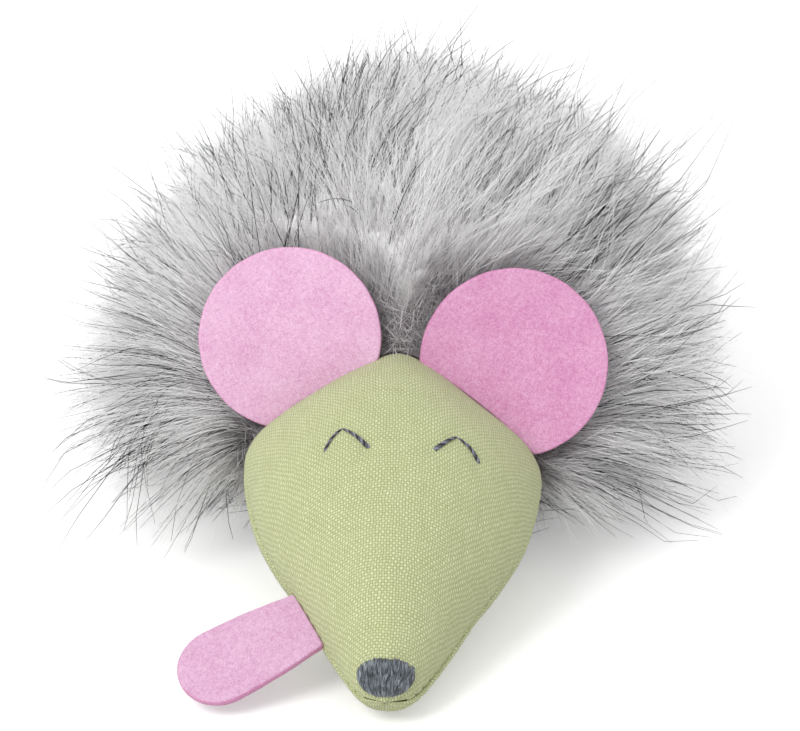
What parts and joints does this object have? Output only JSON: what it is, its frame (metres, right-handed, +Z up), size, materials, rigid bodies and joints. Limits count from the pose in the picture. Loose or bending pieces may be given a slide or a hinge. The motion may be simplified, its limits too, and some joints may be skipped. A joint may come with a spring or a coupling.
{
  "type": "kicker cat toy",
  "caption": "Stuffed mouse for a cat to grab and kick: canvas head, felt ears and tongue that flap, stitched eyes and nose, and a long-pile fur body.",
  "frame": {"origin": "on the surface that the toy lies on, under the middle of its outer box", "axes": "+Z up, -Y out of the nose, +Y along the body towards its tail end, +X to the toy's own left"},
  "size_m": [0.1788, 0.2766, 0.1111],
  "materials": {
    "green_canvas": "plain-weave canvas, matt",
    "pink_felt": "pressed felt, matt",
    "grey_fur": "long-pile faux fur, pale grey with dark guard hairs",
    "slate_thread": "embroidery thread, soft sheen",
    "green_thread": "sewing thread",
    "fibre_filling": "loose polyester fibre",
    "pouch_cotton": "thin cotton",
    "dried_catnip": "dried crushed leaf"
  },
  "bodies": {
    "stuffed_body": {"head_top_panel": "green_canvas", "head_chin_panel": "green_canvas", "head_filling": "fibre_filling", "cheek_seam_thread": "green_thread", "left_eye_embroidery": "slate_thread", "right_eye_embroidery": "slate_thread", "nose_embroidery": "slate_thread", "fur_back_panel": "grey_fur", "fur_belly_panel": "grey_fur", "closing_seam_thread": "green_thread", "body_seam_thread": "green_thread", "neck_seam_thread": "green_thread", "body_filling": "fibre_filling", "catnip_pouch": "pouch_cotton", "catnip_herb": "dried_catnip"},
    "left_ear_flap": {"left_ear": "pink_felt"},
    "right_ear_flap": {"right_ear": "pink_felt"},
    "tongue_flap": {"tongue": "pink_felt"}
  },
  "joints": [
    {"name": "left_ear_fold", "type": "hinge", "parent": "stuffed_body", "child": "left_ear_flap", "pos_m": [0.0241, -0.05236, 0.04685], "axis": [0.7727, -0.2291, -0.592], "range_deg": [-12, 70], "stiffness_Nm_per_rad": 0.03},
    {"name": "right_ear_fold", "type": "hinge", "parent": "stuffed_body", "child": "right_ear_flap", "pos_m": [-0.01942, -0.05183, 0.05088], "axis": [0.8589, 0.2327, 0.4563], "range_deg": [-12, 70], "stiffness_Nm_per_rad": 0.03},
    {"name": "tongue_fold", "type": "hinge", "parent": "stuffed_body", "child": "tongue_flap", "pos_m": [-0.02148, -0.11425, 0.01665], "axis": [-0.4468, 0.8286, 0.3373], "range_deg": [-5, 70], "stiffness_Nm_per_rad": 0.02}
  ]
}
